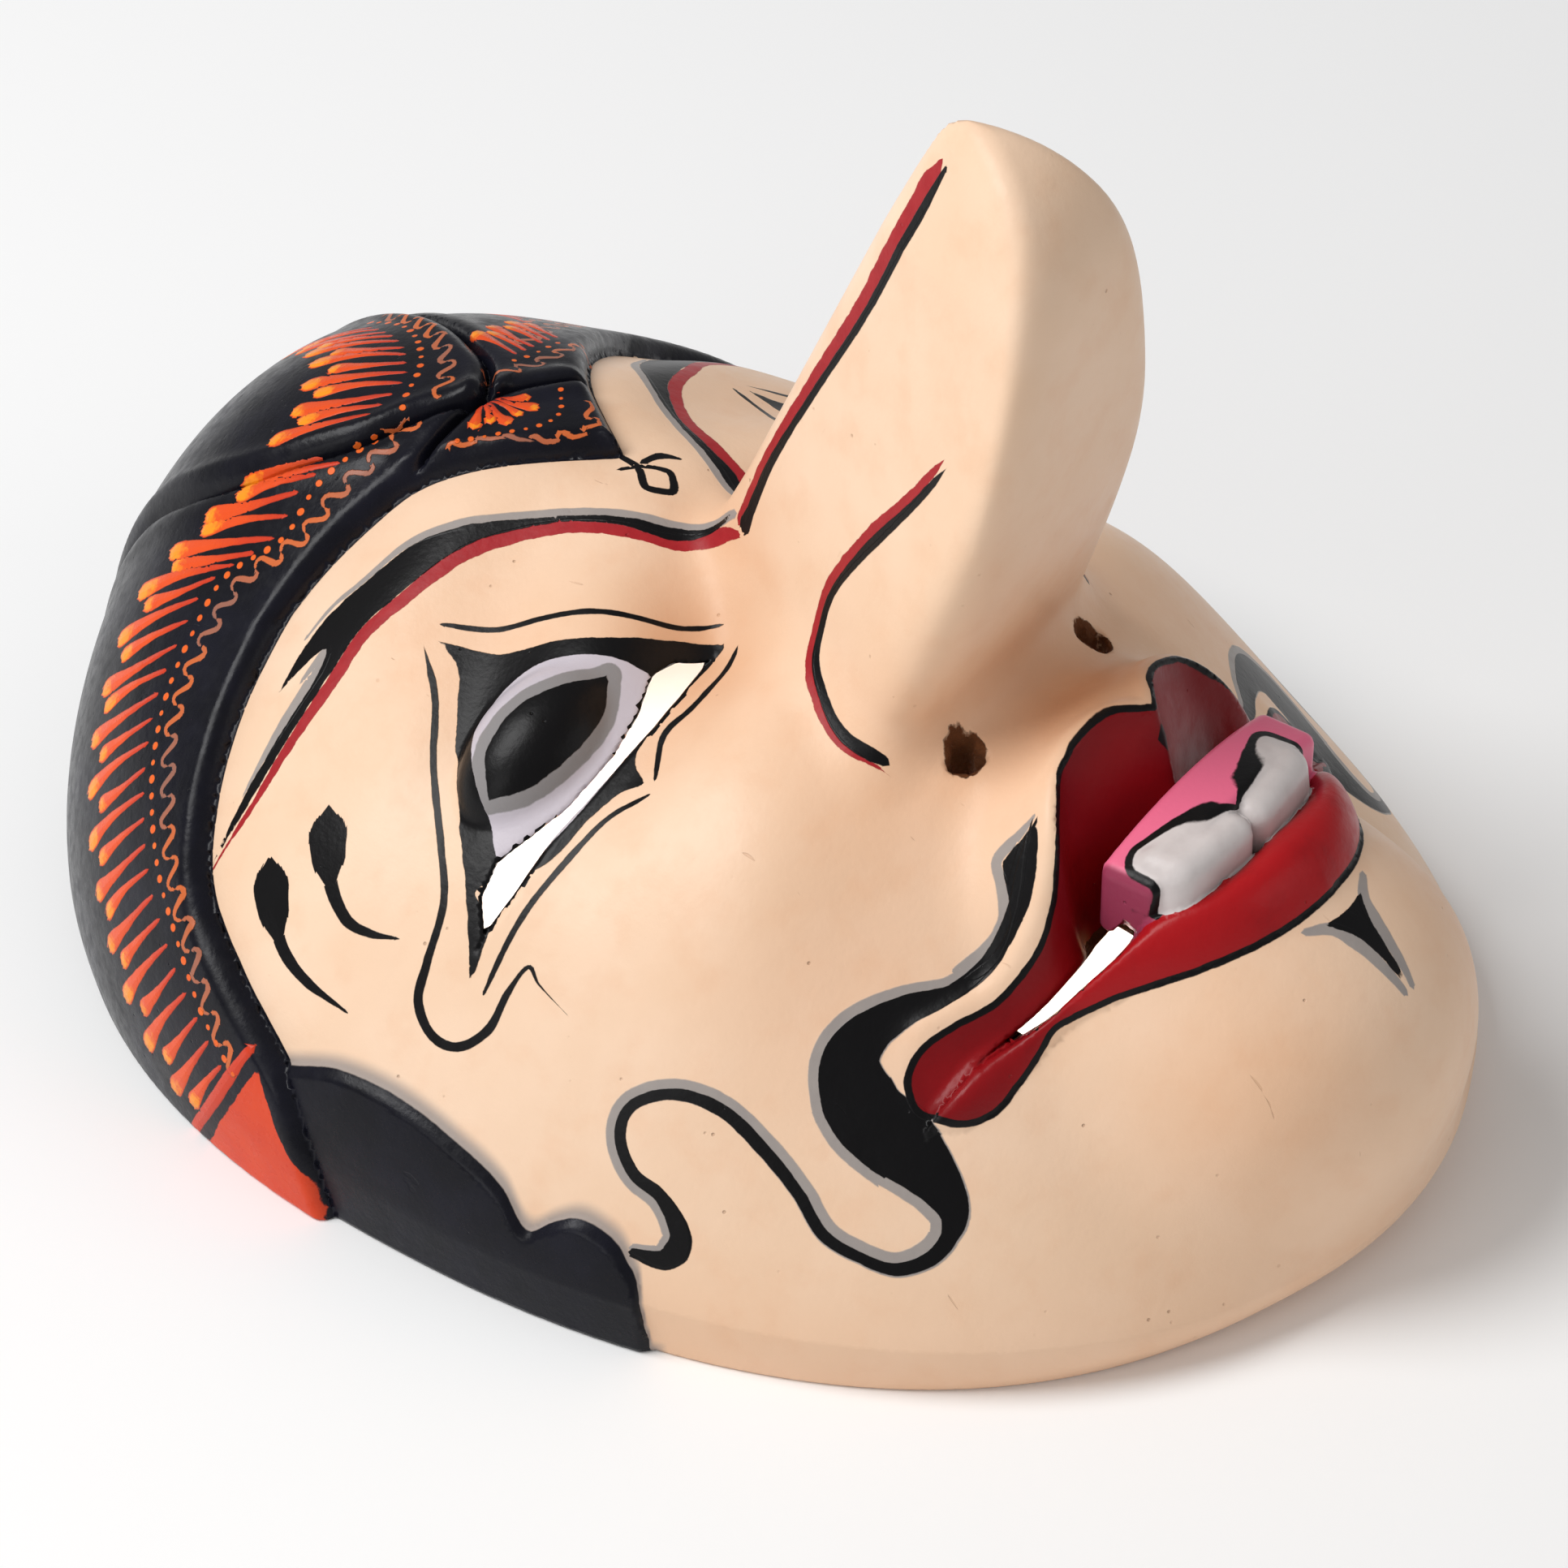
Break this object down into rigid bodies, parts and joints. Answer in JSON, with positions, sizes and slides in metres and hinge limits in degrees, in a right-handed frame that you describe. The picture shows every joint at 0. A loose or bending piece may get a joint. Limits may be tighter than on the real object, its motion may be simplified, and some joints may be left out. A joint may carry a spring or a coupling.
{
  "type": "long-nosed theatre mask",
  "caption": "Hollow carved wooden theatre mask with a long nose, open eye and mouth slits, a carved headscarf and a painted face.",
  "frame": {"origin": "middle of the footprint on the plane of the rim", "axes": "+Y towards the crown, +Z out of the face along the nose, +X to the mask's left"},
  "size_m": [0.1594, 0.2067, 0.1464],
  "materials": {
    "painted_wood": "cream satin paint with black, orange and red decoration over carved wood, bare wood inside"
  },
  "bodies": {
    "root": {"carved_mask": "painted_wood"}
  },
  "joints": []
}
